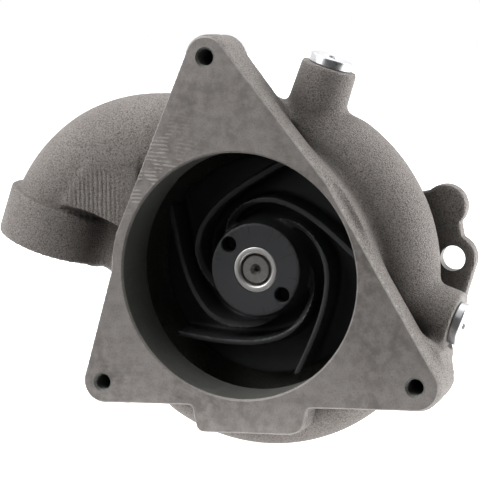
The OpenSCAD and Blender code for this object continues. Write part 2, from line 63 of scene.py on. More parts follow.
def slab(flat, depth, y0, y1, soft=0.0):
    """Solid between two stations of a flat distance, with its edges rounded by soft."""
    over = np.maximum(y0 + soft - depth, depth - y1 + soft)
    flat = flat + soft
    return (np.minimum(np.maximum(flat, over), 0)
            + np.sqrt(np.maximum(flat, 0) ** 2 + np.maximum(over, 0) ** 2) - soft)


def outline(px, pz, points):
    """Signed distance to a closed outline of [x, z] points."""
    best = np.full(np.broadcast(px, pz).shape, 1e9, np.float32)
    inside = np.zeros(best.shape, bool)
    for p, q in zip(points, np.roll(points, -1, axis=0)):
        dx, dz = float(q[0] - p[0]), float(q[1] - p[1])
        t = np.clip(((px - p[0]) * dx + (pz - p[1]) * dz) / (dx * dx + dz * dz), 0, 1)
        best = np.minimum(best, (px - p[0] - t * dx) ** 2 + (pz - p[1] - t * dz) ** 2)
        if dz != 0:
            crosses = ((pz >= p[1]) != (pz >= q[1])) & (px < p[0] + (pz - p[1]) / dz * dx)
            inside ^= crosses
    return np.where(inside, -1, 1) * np.sqrt(best)


def capped(grid, start, direction, r0, r1, length, soft=0.0):
    """Cylinder or cone from start along a direction."""
    d = np.array(direction, float) / np.linalg.norm(direction)
    gx, gy, gz = grid[0] - start[0], grid[1] - start[1], grid[2] - start[2]
    t = gx * d[0] + gy * d[1] + gz * d[2]
    rho = np.sqrt(np.maximum(gx * gx + gy * gy + gz * gz - t * t, 0))
    radius = r0 + (r1 - r0) * np.clip(t / length, 0, 1)
    return slab(rho - radius, t, 0, length, soft)


def make_grid(lo, hi, step):
    """Sparse x, y and z coordinates of the points of a box."""
    axes = [np.arange(a, b + step, step, dtype=np.float32) for a, b in zip(lo, hi)]
    return np.meshgrid(*axes, indexing="ij", sparse=True)


def sample(field, lo, step, points):
    """Trilinear values of a field at points."""
    f = (points - lo) / step
    i = np.clip(np.floor(f).astype(int), 0, np.array(field.shape) - 2)
    w = f - i
    total = 0
    for cx in (0, 1):
        for cy in (0, 1):
            for cz in (0, 1):
                share = np.abs(1 - cx - w[:, 0]) * np.abs(1 - cy - w[:, 1]) * np.abs(1 - cz - w[:, 2])
                total = total + share * field[i[:, 0] + cx, i[:, 1] + cy, i[:, 2] + cz]
    return total


def settle(field, depth):
    """Fills the places where two corners of the solid touch only across a diagonal.

    Without it the mesh would not be manifold there.
    """
    for _ in range(12):
        inner = field < 0
        places = []
        for axis in range(3):
            u, v = [k for k in range(3) if k != axis]
            corners = []
            for i in (0, 1):
                for j in (0, 1):
                    pick = [slice(None)] * 3
                    pick[u] = slice(i, inner.shape[u] - 1 + i)
                    pick[v] = slice(j, inner.shape[v] - 1 + j)
                    corners.append(inner[tuple(pick)])
            a, b, c, d = corners
            for at in np.argwhere((a == d) & (b == c) & (a != b)):
                for i in (0, 1):
                    for j in (0, 1):
                        spot = at.copy()
                        spot[u] += i
                        spot[v] += j
                        places.append(tuple(spot))
        if not places:
            break
        for spot in places:
            field[spot] = min(field[spot], -depth)
    return field


def surface(field, lo, step):
    """Closed quad mesh of the zero level of a field: one vertex in each cell that the surface crosses."""
    lo = np.array(lo, float)
    field = field.astype(np.float32)
    field[np.abs(field) < 1e-4] = 1e-4
    field = settle(field, 0.04 * step)
    n = np.array(field.shape) - 1
    inner = field < 0
    total = np.zeros(tuple(n) + (3,), np.float32)
    count = np.zeros(tuple(n), np.float32)
    corner = [slice(0, -1), slice(1, None)]
    for axis in range(3):
        others = [k for k in range(3) if k != axis]
        for u in (0, 1):
            for v in (0, 1):
                pick = [None] * 3
                pick[others[0]], pick[others[1]] = corner[u], corner[v]
                pick[axis] = slice(0, -1)
                a = field[tuple(pick)]
                ia = inner[tuple(pick)]
                pick[axis] = slice(1, None)
                b = field[tuple(pick)]
                crossed = ia != inner[tuple(pick)]
                t = np.where(crossed, a / np.where(crossed, a - b, 1), 0)
                count += crossed
                total[..., axis] += t
                total[..., others[0]] += crossed * u
                total[..., others[1]] += crossed * v
    used = count > 0
    cells = np.argwhere(used)
    number = np.full(tuple(n), -1, np.int64)
    number[used] = np.arange(len(cells))
    verts = lo + (cells + total[used] / count[used][:, None]) * step
    # Draw the vertices onto the zero level along the field's slope
    for _ in range(2):
        e = 0.5 * step
        value = sample(field, lo, step, verts)
        slope = np.stack([(sample(field, lo, step, verts + e * d)
                           - sample(field, lo, step, verts - e * d)) / (2 * e) for d in np.eye(3)], 1)
        steepness = np.maximum((slope ** 2).sum(1), 0.25)[:, None]
        verts -= 0.8 * np.clip(value, -0.4 * step, 0.4 * step)[:, None] * slope / steepness
    # One quad round each grid edge that the surface crosses
    quads = []
    for axis in range(3):
        a, b = (axis + 1) % 3, (axis + 2) % 3
        lower, upper = [slice(None)] * 3, [slice(None)] * 3
        lower[axis], upper[axis] = slice(0, -1), slice(1, None)
        crossing = inner[tuple(lower)] != inner[tuple(upper)]
        at = np.argwhere(crossing)
        at = at[(at[:, a] > 0) & (at[:, b] > 0) & (at[:, a] < n[a]) & (at[:, b] < n[b])]
        steps = []
        for da, db in ((0, 0), (-1, 0), (-1, -1), (0, -1)):
            cell = at.copy()
            cell[:, a] += da
            cell[:, b] += db
            steps.append(number[cell[:, 0], cell[:, 1], cell[:, 2]])
        quad = np.stack(steps, 1)
        flip = ~inner[at[:, 0], at[:, 1], at[:, 2]]
        quad[flip] = quad[flip][:, ::-1]
        quads.append(quad)
    return verts, np.concatenate(quads)


# ---------- Meshes ----------


def add_mesh(name, verts, faces, smooth=True):
    """Object from points in millimetres and faces."""
    mesh = bpy.data.meshes.new(name)
    verts = np.asarray(verts, np.float32) * MM
    if isinstance(faces, np.ndarray):
        mesh.vertices.add(len(verts))
        mesh.vertices.foreach_set("co", verts.ravel())
        mesh.loops.add(faces.size)
        mesh.loops.foreach_set("vertex_index", faces.astype(np.int32).ravel())
        mesh.polygons.add(len(faces))
        starts = np.arange(len(faces)) * faces.shape[1]
        mesh.polygons.foreach_set("loop_start", starts.astype(np.int32))
        mesh.update(calc_edges=True)
    else:
        mesh.from_pydata([tuple(v) for v in verts.tolist()], [], faces)
    mesh.validate()
    mesh.polygons.foreach_set("use_smooth", [smooth] * len(mesh.polygons))
    obj = bpy.data.objects.new(name, mesh)
    bpy.context.scene.collection.objects.link(obj)
    return obj


def sharpen(obj, angle=32):
    """Smooth shading with hard edges above an angle."""
    obj.data.polygons.foreach_set("use_smooth", [True] * len(obj.data.polygons))
    obj.data.set_sharp_from_angle(angle=math.radians(angle))


def turned(name, profile, sides=128, closed=True):
    """Solid of revolution about Y from [radius, y] points; points on the axis become poles."""
    verts, rings = [], []
    for r, y in profile:
        if r < 1e-6:
            rings.append([len(verts)])
            verts.append((0, y, 0))
        else:
            rings.append(list(range(len(verts), len(verts) + sides)))
            verts += [(r * math.cos(2 * math.pi * i / sides), y, r * math.sin(2 * math.pi * i / sides))
                      for i in range(sides)]
    faces = []
    pairs = list(zip(rings, rings[1:] + rings[:1])) if closed else list(zip(rings, rings[1:]))
    for a, b in pairs:
        if len(a) == 1 and len(b) == 1:
            continue
        for i in range(sides):
            j = (i + 1) % sides
            if len(a) == 1:
                faces.append((a[0], b[i], b[j]))
            elif len(b) == 1:
                faces.append((a[i], b[0], a[j]))
            else:
                faces.append((a[i], b[i], b[j], a[j]))
    obj = add_mesh(name, verts, faces)
    tidy_normals(obj)
    return obj


def eased(profile, r=0.3, steps=2, closed=True):
    """Profile with each corner rounded by r, as a broken edge."""
    out, n = [], len(profile)
    for i, p in enumerate(profile):
        p = np.array(p, float)
        a, b = np.array(profile[i - 1], float), np.array(profile[(i + 1) % n], float)
        on_axis = p[0] < 1e-6
        la, lb = np.linalg.norm(a - p), np.linalg.norm(b - p)
        cut = min(r, 0.45 * la, 0.45 * lb)
        if on_axis or cut < 0.02:
            out.append(tuple(p))
            continue
        s, e = p + (a - p) / la * cut, p + (b - p) / lb * cut
        for k in range(steps + 1):
            t = k / steps
            out.append(tuple((1 - t) ** 2 * s + 2 * t * (1 - t) * p + t * t * e))
    return out


def tidy_normals(obj):
    """Turns every face outwards."""
    bm = bmesh.new()
    bm.from_mesh(obj.data)
    bmesh.ops.recalc_face_normals(bm, faces=bm.faces)
    bm.to_mesh(obj.data)
    bm.free()


def prism(name, flats, y0, y1, bevel=0.0):
    """Solid along Y between two stations of an outline of [x, z] points."""
    n = len(flats)
    verts = [(x, y0, z) for x, z in flats] + [(x, y1, z) for x, z in flats]
    faces = [tuple(range(n)), tuple(range(2 * n - 1, n - 1, -1))]
    faces += [(i, (i + 1) % n, (i + 1) % n + n, i + n) for i in range(n)]
    obj = add_mesh(name, verts, faces, smooth=False)
    tidy_normals(obj)
    if bevel:
        bm = bmesh.new()
        bm.from_mesh(obj.data)
        rims = [e for e in bm.edges if abs(e.verts[0].co.y - e.verts[1].co.y) < 1e-7]
        bmesh.ops.bevel(bm, geom=rims, offset=bevel * MM, segments=2, profile=0.5, affect="EDGES")
        bm.to_mesh(obj.data)
        bm.free()
    return obj


def cylinder(name, p, direction, r, length, sides=64):
    """Closed cylinder from p along a direction."""
    obj = turned(name, [(0, 0), (r, 0), (r, length), (0, length)], sides, closed=False)
    place(obj, p, direction)
    return obj


def thread(start, end, pitch, steps):
    """Profile points of grooves from start to end; steps are the [radius, offset along Y] points of one."""
    points, y = [], start
    while (end - y) * pitch > 0:
        points += [(r, y + offset) for r, offset in steps]
        y += pitch
    return points


def shift(obj, c):
    """Moves a piece to [x, z] across the shaft's axis."""
    obj.data.transform(Matrix.Translation((c[0] * MM, 0, c[1] * MM)))


def place(obj, p, direction):
    """Turns the piece's +Y along a direction and puts its origin at p."""
    turn = Vector((0, 1, 0)).rotation_difference(Vector(direction).normalized()).to_matrix().to_4x4()
    obj.data.transform(Matrix.Translation(Vector(p) * MM) @ turn)


def cut(obj, cutters, index=None, operation="DIFFERENCE"):
    """Takes closed cutters away from a piece; the new faces get the given material index."""
    for cutter in cutters:
        if index is not None:
            while len(cutter.data.materials) < len(obj.data.materials):
                cutter.data.materials.append(obj.data.materials[len(cutter.data.materials)])
            cutter.data.polygons.foreach_set("material_index", [index] * len(cutter.data.polygons))
        modifier = obj.modifiers.new("cut", "BOOLEAN")
        modifier.operation = operation
        modifier.object = cutter
        for solver in ("MANIFOLD", "EXACT"):
            modifier.solver = solver
            bpy.context.view_layer.update()
            result = obj.evaluated_get(bpy.context.evaluated_depsgraph_get())
            made = bpy.data.meshes.new_from_object(result)
            if len(made.polygons) not in (0, len(obj.data.polygons)):
                break
            print("CUT FELL BACK", obj.name, cutter.name, solver)
        obj.modifiers.remove(modifier)
        old = obj.data
        obj.data = made
        bpy.data.meshes.remove(old)
        bpy.data.objects.remove(cutter)
    return obj


# ---------- Materials ----------


class Nodes:
    """Small helper that builds a material's node tree."""

    def __init__(self, name):
        self.material = bpy.data.materials.new(name)
        self.material.use_nodes = True
        self.tree = self.material.node_tree
        self.shader = self.tree.nodes["Principled BSDF"]
        self.place = self.add("ShaderNodeTexCoord").outputs["Object"]

    def add(self, kind, **values):
        node = self.tree.nodes.new(kind)
        for key, value in values.items():
            if key in node.inputs:
                self.feed(node.inputs[key], value)
            else:
                setattr(node, key, value)
        return node

    def feed(self, socket, value):
        if isinstance(value, bpy.types.NodeSocket):
            self.tree.links.new(value, socket)
        else:
            socket.default_value = value

    def noise(self, scale, detail=3.0, rough=0.55, place=None):
        node = self.add("ShaderNodeTexNoise", Scale=scale, Detail=detail, Roughness=rough)
        self.feed(node.inputs["Vector"], place or self.place)
        return node.outputs["Fac"]

    def stretched(self, scale):
        node = self.add("ShaderNodeMapping")
        self.feed(node.inputs["Vector"], self.place)
        node.inputs["Scale"].default_value = scale
        return node.outputs["Vector"]

    def remap(self, value, low, high, to_low=0.0, to_high=1.0):
        node = self.add("ShaderNodeMapRange")
        self.feed(node.inputs["Value"], value)
        for key, v in (("From Min", low), ("From Max", high), ("To Min", to_low), ("To Max", to_high)):
            node.inputs[key].default_value = v
        return node.outputs["Result"]

    def math(self, operation, a, b=0.0):
        node = self.add("ShaderNodeMath", operation=operation)
        self.feed(node.inputs[0], a)
        self.feed(node.inputs[1], b)
        return node.outputs[0]

    def mix(self, factor, a, b):
        node = self.add("ShaderNodeMix", data_type="RGBA")
        self.feed(node.inputs[0], factor)
        for socket, value in ((node.inputs[6], a), (node.inputs[7], b)):
            self.feed(socket, value if isinstance(value, bpy.types.NodeSocket) else (*value, 1.0))
        return node.outputs[2]

    def distance(self, point):
        """Distance from a point of the part, in metres."""
        node = self.add("ShaderNodeVectorMath", operation="DISTANCE")
        self.feed(node.inputs[0], self.place)
        node.inputs[1].default_value = point
        return node.outputs["Value"]

    def hollow_shade_mask(self, reach, low, high):
        """Mask for painted shade: 1 deep in a hollow, 0 on an open face."""
        node = self.add("ShaderNodeAmbientOcclusion")
        node.samples = 8
        node.only_local = True
        node.inputs["Distance"].default_value = reach
        return self.remap(node.outputs["AO"], high, low)

    def edge(self, low=0.52, high=0.60):
        """1 on convex edges, 0 elsewhere."""
        return self.remap(self.add("ShaderNodeNewGeometry").outputs["Pointiness"], low, high)

    def bump(self, height, distance, strength=1.0, after=None):
        node = self.add("ShaderNodeBump", Strength=strength, Distance=distance)
        self.feed(node.inputs["Height"], height)
        if after is not None:
            self.feed(node.inputs["Normal"], after)
        return node.outputs["Normal"]

    def finish(self, colour, rough, metallic=0.0, normal=None, specular=None):
        s = self.shader.inputs
        self.feed(s["Base Color"], colour if isinstance(colour, bpy.types.NodeSocket) else (*colour, 1.0))
        self.feed(s["Roughness"], rough)
        self.feed(s["Metallic"], metallic)
        if specular is not None:
            s["Specular IOR Level"].default_value = specular
        if normal is not None:
            self.feed(s["Normal"], normal)
        return self.material


def cast_skin(name, base, dark, light, grain=1.0, ripples=False):
    """Sand-cast iron: fine gritty skin, soft blotches, pale edges that are partly wear and partly painted
    highlight, and painted shade in the hollows.
    """
    m = Nodes(name)
    grit = m.noise(2600, 2, 0.6)
    sand = m.noise(1350, 3, 0.65)
    blotch = m.noise(32, 3, 0.6)
    tone = m.mix(m.remap(blotch, 0.35, 0.65), base, tuple(0.86 * c for c in base))
    tone = m.mix(m.remap(grit, 0.49, 0.36, 0.0, 0.90), tone, dark)
    tone = m.mix(m.remap(sand, 0.55, 0.68, 0.0, 0.45), tone, light)
    tone = m.mix(m.remap(sand, 0.46, 0.34, 0.0, 0.75), tone, dark)
    # Pale convex edges: partly wear, partly painted highlight
    tone = m.mix(m.math("MULTIPLY", m.edge(0.53, 0.62), 0.30), tone, light)
    # Painted shade: the skin's colour goes towards its dark tone deep in the hollows
    tone = m.mix(m.math("MULTIPLY", m.hollow_shade_mask(0.032, 0.40, 0.92), 0.85), tone, dark)
    normal = m.bump(sand, 0.0008 * grain, 0.8)
    normal = m.bump(grit, 0.0005 * grain, 0.8, normal)
    if ripples:
        # Fine upright ripples on the elbow's flank, left by the mould
        wave = m.add("ShaderNodeTexWave", Scale=150.0, Distortion=1.6, Detail=2.0)
        wave.bands_direction = "X"
        m.feed(wave.inputs["Vector"], m.place)
        wave.inputs["Detail Scale"].default_value = 1.5
        share = m.remap(m.distance((-0.072, 0.013, 0.028)), 0.017, 0.008)
        normal = m.bump(m.math("MULTIPLY", wave.outputs["Fac"], share), 0.0006, 0.6, normal)
        shade = m.math("MULTIPLY", m.math("MULTIPLY", wave.outputs["Fac"], share), 0.22)
        tone = m.mix(shade, tone, dark)
    return m.finish(tone, m.remap(sand, 0.3, 0.7, 0.50, 0.66), 0.30, normal, 0.5)


def machined(name, base, dark, rough=0.36, metallic=0.6, marks=True):
    """Milled iron: faint cutter arcs in patches, stains and a fine grain."""
    m = Nodes(name)
    stain = m.noise(30, 4, 0.65)
    grain = m.noise(1300, 3, 0.6)
    mottle = m.noise(210, 3, 0.6)
    tone = m.mix(m.remap(stain, 0.38, 0.66), base, dark)
    tone = m.mix(m.remap(mottle, 0.40, 0.66, 0.0, 0.70), tone, tuple(1.22 * c for c in base))
    tone = m.mix(m.remap(grain, 0.50, 0.34, 0.0, 0.50), tone, tuple(0.6 * c for c in base))
    normal = m.bump(grain, 0.00020, 0.5)
    if marks:
        moved = m.add("ShaderNodeMapping")
        m.feed(moved.inputs["Vector"], m.place)
        moved.inputs["Location"].default_value = (0.045, 0.0, 0.115)
        sweep = m.add("ShaderNodeTexWave", Scale=190.0, Distortion=1.4, Detail=2.0)
        sweep.wave_type = "RINGS"
        sweep.rings_direction = "Y"
        m.feed(sweep.inputs["Vector"], moved.outputs["Vector"])
        sweep.inputs["Detail Scale"].default_value = 3.0
        patch = m.remap(m.distance((-0.043, 0.0, 0.044)), 0.032, 0.008)
        broken = m.remap(m.noise(230, 2, 0.5), 0.44, 0.58)
        share = m.math("MAXIMUM", m.math("MULTIPLY", m.math("MULTIPLY", patch, broken), 0.75),
                       m.math("MULTIPLY", m.remap(m.noise(16, 2, 0.5), 0.52, 0.70), 0.08))
        tone = m.mix(m.math("MULTIPLY", sweep.outputs["Fac"], share), tone, tuple(1.6 * c for c in base))
        normal = m.bump(m.math("MULTIPLY", sweep.outputs["Fac"], share), 0.00030, 0.5, normal)
    return m.finish(tone, m.remap(mottle, 0.3, 0.7, rough - 0.05, rough + 0.10), metallic, normal, 0.5)


def turned_metal(name, base, rough=0.25, pitch=2200):
    """Lathe-turned metal: fine grooves round the shaft axis, faint smudges, bright edges."""
    m = Nodes(name)
    grooves = m.noise(pitch, 2, 0.5, m.stretched((0.02, 1.0, 0.02)))
    smudge = m.noise(90, 3, 0.6)
    tone = m.mix(m.remap(smudge, 0.35, 0.7), base, tuple(0.82 * c for c in base))
    # Brighter convex edges: partly wear, partly painted highlight
    worn_and_lit_edge = m.math("MULTIPLY", m.edge(0.54, 0.64), 0.45)
    tone = m.mix(worn_and_lit_edge, tone, tuple(min(1, 1.25 * c) for c in base))
    normal = m.bump(grooves, 0.00004, 0.35)
    return m.finish(tone, m.remap(smudge, 0.3, 0.7, rough * 0.85, rough * 1.3), 1.0, normal, 0.5)


def plain_skin(name, base, rough, metallic=0.0, scale=700, depth=0.00008, specular=0.5, spread=0.82):
    """Rubber, plating or moulded skin with fine unevenness."""
    m = Nodes(name)
    fine = m.noise(scale, 3, 0.6)
    broad = m.noise(scale / 12, 3, 0.6)
    tone = m.mix(m.remap(broad, 0.35, 0.68), base, tuple(spread * c for c in base))
    # Lighter convex edges: partly wear, partly painted highlight
    worn_and_lit_edge = m.math("MULTIPLY", m.edge(0.53, 0.62), 0.35)
    tone = m.mix(worn_and_lit_edge, tone, tuple(min(1, 1.5 * c + 0.01) for c in base))
    gloss = m.remap(fine, 0.3, 0.7, rough * 0.85, min(1, rough * 1.2))
    return m.finish(tone, gloss, metallic, m.bump(fine, depth, 0.5), specular)


skin = cast_skin("cast_iron_skin", (0.300, 0.272, 0.254), (0.042, 0.036, 0.030), (0.46, 0.43, 0.405),
                 ripples=True)
# Copy of the cast iron for the inside faces, its tones set as painted light for the inside of the casing
inside_shading_skin = cast_skin("cast_iron_inside_shading", (0.27, 0.265, 0.24), (0.12, 0.12, 0.105), (0.45, 0.44, 0.40))
milled = machined("milled_iron", (0.275, 0.254, 0.242), (0.160, 0.143, 0.131), 0.50, 0.25)
# Darker copy of the machined iron for the bores and tapped holes: painted shade of their insides
shaded_bore_iron = machined("bored_iron_shaded", (0.150, 0.152, 0.142), (0.115, 0.117, 0.108), 0.42, 0.1, marks=False)
worn_edge = machined("worn_edge", (0.27, 0.253, 0.24), (0.22, 0.203, 0.19), 0.5, 0.3, marks=False)
rear_milled = machined("rear_milled_iron", (0.19, 0.18, 0.172), (0.14, 0.13, 0.124), 0.45, 0.4)
impeller_skin = plain_skin("impeller_coating", (0.042, 0.043, 0.0455), 0.42, 0.0, 520, 0.00016, 0.28)
steel = turned_metal("turned_steel", (0.82, 0.81, 0.79), 0.36)
shaft_steel = turned_metal("shaft_steel", (0.33, 0.32, 0.305), 0.40)
ground = turned_metal("ground_steel", (0.25, 0.25, 0.255), 0.38, 3200)
zinc = plain_skin("bright_zinc", (0.72, 0.73, 0.75), 0.30, 0.9, 300, 0.00002, 0.5, 0.90)
rubber = plain_skin("seal_rubber", (0.016, 0.016, 0.018), 0.62)
brass = plain_skin("seal_brass", (0.62, 0.45, 0.20), 0.30, 1.0, 260, 0.00003)
carbon = plain_skin("seal_carbon", (0.030, 0.030, 0.032), 0.42, 0.1, 900, 0.00003)

# ---------- Casing ----------

# The flange's tapped holes as [x, z], the corner radii round them, and its waists
TOP_HOLE = np.array([-14, 91.1])
LEFT_HOLE = np.array([-62.1, -49.3])
RIGHT_HOLE = np.array([77.1, -41.2])
TOP_R, LEFT_R, RIGHT_R = 9.0, 9.2, 10.0
LEFT_WAIST, RIGHT_WAIST = np.array([-57.2, 8.0]), np.array([39.4, 40.4])
FLANGE_T, LUG_DEPTH = 14.0, 25.0
# Scroll, inlet and the stations along the shaft
INLET_R, NECK_R, BACK_R, SCROLL_WALL = 52.0, 57.5, 66.0, 5.0
SCROLL_Y, CHAMBER_END, MOUNT_Y, HOUSING_END = 37.0, 48.0, 62.0, 105.4
PLATE_FRONT_Y, PLATE_R, HOUSING_R = 55.2, 69.0, 31.5
# Discharge elbow and its collar
ELBOW_C = np.array([-49.8, -2.5])
ELBOW_R, ELBOW_BEND_R, ELBOW_BORE_R, ELBOW_END_A = 24.0, 53.0, 17.0, 152.0
COLLAR_END, OUTLET_A, COLLAR_R, COLLAR_LENGTH = np.array([-102.9, 5.0]), -108.7, 26.0, 22.0
# Plugged ports: the end of each, its direction and its boss
TOP_PORT, TOP_PORT_A, TOP_BOSS_R = (29.5, 34.0, 87.1), 71.3, 12.0
SIDE_PORT, SIDE_PORT_A, SIDE_BOSS_R = (85.5, 33.0, -19.2), -16.5, 13.2
BOSS_FILLET = 4.0
# Mounting holes; the plate's first three lobes, as [angle, radius, size], run together into a wavy edge
MOUNT_ANGLES, MOUNT_HOLE_R = (3.3, 110, 205, 331.5), 79
WAVY_LOBES = [[19.8, 79.5, 9.5], [3.3, MOUNT_HOLE_R, 10], [-11, 75, 10.5]]
RIBS = 6


def heading(p, q):
    """Angle of the line from p to q."""
    return math.degrees(math.atan2(q[1] - p[1], q[0] - p[0]))


def arc(c, r, a0, a1, n):
    """Points along an arc."""
    return [np.array(c) + polar(r, a0 + (a1 - a0) * i / n) for i in range(n + 1)]


def flange_outline():
    """Triangular flange: three rounded corners, with a waist on two of its sides."""
    bottom = heading(LEFT_HOLE - (0, LEFT_R), RIGHT_HOLE - (0, RIGHT_R))
    right = heading(RIGHT_HOLE, RIGHT_WAIST)
    upper = heading(RIGHT_WAIST, TOP_HOLE + (TOP_R - 1, 2))
    left = heading(TOP_HOLE, LEFT_WAIST)
    lower = heading(LEFT_WAIST, LEFT_HOLE - (LEFT_R, 0)) + 360
    return np.array(arc(RIGHT_HOLE, RIGHT_R, bottom - 90, right - 90, 16) + [RIGHT_WAIST]
                    + arc(TOP_HOLE, TOP_R, upper - 90, left + 270, 20)
                    + arc((0, 0), float(np.linalg.norm(LEFT_WAIST)), 164, 180, 4)
                    + arc(LEFT_HOLE, LEFT_R, lower - 90, bottom + 270, 16))


# Outlines of the tab under the flange, the elbow's web and ledge, and the webs at the two ports
TAB = np.array([[-21.5, -50], [-20, -60], [-18.5, -66], [-16.5, -67.8], [23.5, -65.7], [28, -64.1],
                [29.5, -62], [32.5, -50]])
WEB = np.array([[-92, 24], [-50, 40], [-50, -8], [-66, -6], [-80, -2]])
LEDGE = np.array([[-88, 25.6], [-81.5, 24.6], [-73.4, 22.7], [-68.5, 20.7], [-63.8, 18.7], [-58, 16.2],
                  [-50, 13], [-50, 48], [-72, 48]])
SIDE_WEB = np.array([[66, -24], [79, -24], [84, -29], [84.6, -36], [85.5, -42], [70, -44]])
TOP_WALL = np.array([TOP_HOLE, TOP_HOLE + polar(TOP_R - 0.6, 38),
                     TOP_HOLE * 0.45 + RIGHT_WAIST * 0.55 + polar(TOP_R - 6.5, 38), [0, 50]])


def lug_web(p, half):
    """Outline of the web from the neck out to a corner of the flange."""
    a, r = heading((0, 0), p), float(np.linalg.norm(p))
    return np.array([polar(48, a) + polar(half + 6, a + 90), polar(48, a) + polar(half + 6, a - 90),
                     polar(r, a) + polar(half, a - 90), polar(r, a) + polar(half, a + 90)])


def disc(gx, gz, c, r):
    """Flat distance to a disc round c."""
    return np.sqrt((gx - c[0]) ** 2 + (gz - c[1]) ** 2) - r


def plate_flat(gx, gz):
    """Mounting plate: a disc with lobes; the three on the right run together into a wavy edge."""
    flat = disc(gx, gz, (0, 0), PLATE_R)
    for a, r, size in WAVY_LOBES + [[a, MOUNT_HOLE_R, 9] for a in MOUNT_ANGLES[1:]]:
        lobe = disc(gx, gz, polar(r, a), size)
        root = np.array([polar(52, a) + polar(size + 2, a + 90), polar(52, a) + polar(size + 2, a - 90),
                         polar(r, a) + polar(size - 1.5, a - 80), polar(r, a) + polar(size - 1.5, a + 80)])
        flat = blend(flat, np.minimum(lobe, outline(gx, gz, root)), 3.0)
    for (a0, r0, _), (a1, r1, _) in zip(WAVY_LOBES, WAVY_LOBES[1:]):
        between = np.array([[40, 0], polar(r0 + 5.5, a0), polar(r1 + 5.5, a1)])
        flat = np.minimum(flat, outline(gx, gz, between))
    beside_port = np.array([[60, 5], [88.6, 2.5], [84.0, -13.5], [60, -20]])
    return np.minimum(flat, outline(gx, gz, beside_port))


